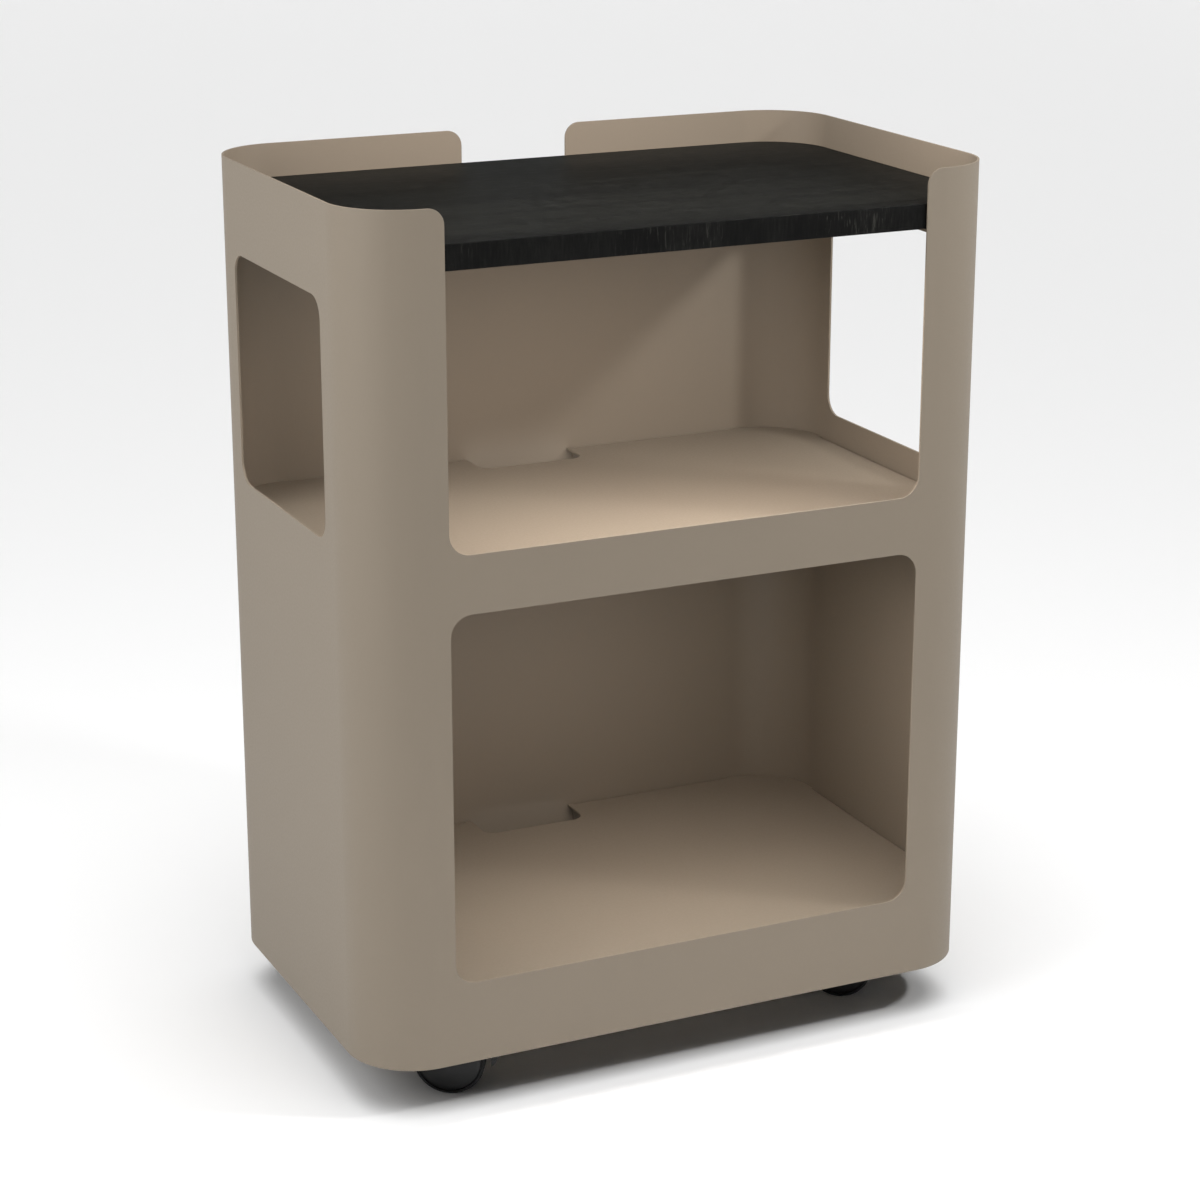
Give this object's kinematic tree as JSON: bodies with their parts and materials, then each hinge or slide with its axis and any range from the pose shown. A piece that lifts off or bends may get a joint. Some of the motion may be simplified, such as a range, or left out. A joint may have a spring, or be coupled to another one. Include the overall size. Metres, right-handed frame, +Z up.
{
  "type": "rolling storage trolley",
  "caption": "Low rolling storage trolley with a wrapped steel shell, two open compartments, a recessed dark wood top, cable notches and swivel casters.",
  "frame": {"origin": "on the floor under the middle of the trolley's plan", "axes": "+Z up, the open front faces -Y, +X to the right as seen from the front"},
  "size_m": [0.6, 0.376, 0.792],
  "materials": {
    "powder_coat": "fine matt powder coat, taupe",
    "stained_oak": "black-stained oak veneer, open grain, matt lacquer",
    "zinc_steel": "bright zinc plate",
    "black_nylon": "moulded nylon, fine texture",
    "tread_rubber": "soft matt tread"
  },
  "bodies": {
    "frame": {"body_shell": "powder_coat", "middle_shelf": "powder_coat", "bottom_shelf": "powder_coat", "top_board": "stained_oak", "left_board_rail": "powder_coat", "left_board_screw_1": "zinc_steel", "left_board_screw_2": "zinc_steel", "left_board_screw_3": "zinc_steel", "left_caster_channel": "powder_coat", "right_board_rail": "powder_coat", "right_board_screw_1": "zinc_steel", "right_board_screw_2": "zinc_steel", "right_board_screw_3": "zinc_steel", "right_caster_channel": "powder_coat", "caster_front_left_stem": "zinc_steel", "caster_front_left_weld_nut": "zinc_steel", "caster_front_right_stem": "zinc_steel", "caster_front_right_weld_nut": "zinc_steel", "caster_rear_left_stem": "zinc_steel", "caster_rear_left_weld_nut": "zinc_steel", "caster_rear_right_stem": "zinc_steel", "caster_rear_right_weld_nut": "zinc_steel"},
    "caster_front_left_swivel_body": {"caster_front_left_hood": "black_nylon", "caster_front_left_axle": "zinc_steel", "caster_front_left_pedal_pin": "zinc_steel"},
    "caster_front_left_outer_wheel": {"caster_front_left_outer_hub": "black_nylon", "caster_front_left_outer_tread": "tread_rubber"},
    "caster_front_left_inner_wheel": {"caster_front_left_inner_hub": "black_nylon", "caster_front_left_inner_tread": "tread_rubber"},
    "caster_front_left_pedal_body": {"caster_front_left_brake_pedal": "black_nylon"},
    "caster_front_right_swivel_body": {"caster_front_right_hood": "black_nylon", "caster_front_right_axle": "zinc_steel", "caster_front_right_pedal_pin": "zinc_steel"},
    "caster_front_right_outer_wheel": {"caster_front_right_outer_hub": "black_nylon", "caster_front_right_outer_tread": "tread_rubber"},
    "caster_front_right_inner_wheel": {"caster_front_right_inner_hub": "black_nylon", "caster_front_right_inner_tread": "tread_rubber"},
    "caster_front_right_pedal_body": {"caster_front_right_brake_pedal": "black_nylon"},
    "caster_rear_left_swivel_body": {"caster_rear_left_hood": "black_nylon", "caster_rear_left_axle": "zinc_steel"},
    "caster_rear_left_outer_wheel": {"caster_rear_left_outer_hub": "black_nylon", "caster_rear_left_outer_tread": "tread_rubber"},
    "caster_rear_left_inner_wheel": {"caster_rear_left_inner_hub": "black_nylon", "caster_rear_left_inner_tread": "tread_rubber"},
    "caster_rear_right_swivel_body": {"caster_rear_right_hood": "black_nylon", "caster_rear_right_axle": "zinc_steel"},
    "caster_rear_right_outer_wheel": {"caster_rear_right_outer_hub": "black_nylon", "caster_rear_right_outer_tread": "tread_rubber"},
    "caster_rear_right_inner_wheel": {"caster_rear_right_inner_hub": "black_nylon", "caster_rear_right_inner_tread": "tread_rubber"}
  },
  "joints": [
    {"name": "caster_front_left_swivel", "type": "hinge", "parent": "frame", "child": "caster_front_left_swivel_body", "pos_m": [-0.225, -0.1195, 0.0471], "axis": [0, 0, 1], "continuous": true},
    {"name": "caster_front_left_outer_wheel_roll", "type": "hinge", "parent": "caster_front_left_swivel_body", "child": "caster_front_left_outer_wheel", "pos_m": [-0.21209, -0.14486, 0.0315], "axis": [0.5075, 0.8616, 0], "continuous": true},
    {"name": "caster_front_left_inner_wheel_roll", "type": "hinge", "parent": "caster_front_left_swivel_body", "child": "caster_front_left_inner_wheel", "pos_m": [-0.19656, -0.1185, 0.0315], "axis": [0.5075, 0.8616, 0], "continuous": true},
    {"name": "caster_front_left_pedal_lift", "type": "hinge", "parent": "caster_front_left_swivel_body", "child": "caster_front_left_pedal_body", "pos_m": [-0.18086, -0.1455, 0.05872], "axis": [-0.5075, -0.8616, 0], "range_deg": [0, 12]},
    {"name": "caster_front_right_swivel", "type": "hinge", "parent": "frame", "child": "caster_front_right_swivel_body", "pos_m": [0.225, -0.1195, 0.0471], "axis": [0, 0, 1], "continuous": true},
    {"name": "caster_front_right_outer_wheel_roll", "type": "hinge", "parent": "caster_front_right_swivel_body", "child": "caster_front_right_outer_wheel", "pos_m": [0.21693, -0.09221, 0.0315], "axis": [-0.6561, -0.7547, 0], "continuous": true},
    {"name": "caster_front_right_inner_wheel_roll", "type": "hinge", "parent": "caster_front_right_swivel_body", "child": "caster_front_right_inner_wheel", "pos_m": [0.19685, -0.1153, 0.0315], "axis": [-0.6561, -0.7547, 0], "continuous": true},
    {"name": "caster_front_right_pedal_lift", "type": "hinge", "parent": "caster_front_right_swivel_body", "child": "caster_front_right_pedal_body", "pos_m": [0.18634, -0.08589, 0.05872], "axis": [0.6561, 0.7547, 0], "range_deg": [0, 12]},
    {"name": "caster_rear_left_swivel", "type": "hinge", "parent": "frame", "child": "caster_rear_left_swivel_body", "pos_m": [-0.225, 0.1195, 0.0471], "axis": [0, 0, 1], "continuous": true},
    {"name": "caster_rear_left_outer_wheel_roll", "type": "hinge", "parent": "caster_rear_left_swivel_body", "child": "caster_rear_left_outer_wheel", "pos_m": [-0.20471, 0.09954, 0.0315], "axis": [0.2079, 0.9781, 0], "continuous": true},
    {"name": "caster_rear_left_inner_wheel_roll", "type": "hinge", "parent": "caster_rear_left_swivel_body", "child": "caster_rear_left_inner_wheel", "pos_m": [-0.19834, 0.12948, 0.0315], "axis": [0.2079, 0.9781, 0], "continuous": true},
    {"name": "caster_rear_right_swivel", "type": "hinge", "parent": "frame", "child": "caster_rear_right_swivel_body", "pos_m": [0.225, 0.1195, 0.0471], "axis": [0, 0, 1], "continuous": true},
    {"name": "caster_rear_right_outer_wheel_roll", "type": "hinge", "parent": "caster_rear_right_swivel_body", "child": "caster_rear_right_outer_wheel", "pos_m": [0.21099, 0.14428, 0.0315], "axis": [-0.4695, -0.8829, 0], "continuous": true},
    {"name": "caster_rear_right_inner_wheel_roll", "type": "hinge", "parent": "caster_rear_right_swivel_body", "child": "caster_rear_right_inner_wheel", "pos_m": [0.19663, 0.11726, 0.0315], "axis": [-0.4695, -0.8829, 0], "continuous": true}
  ]
}
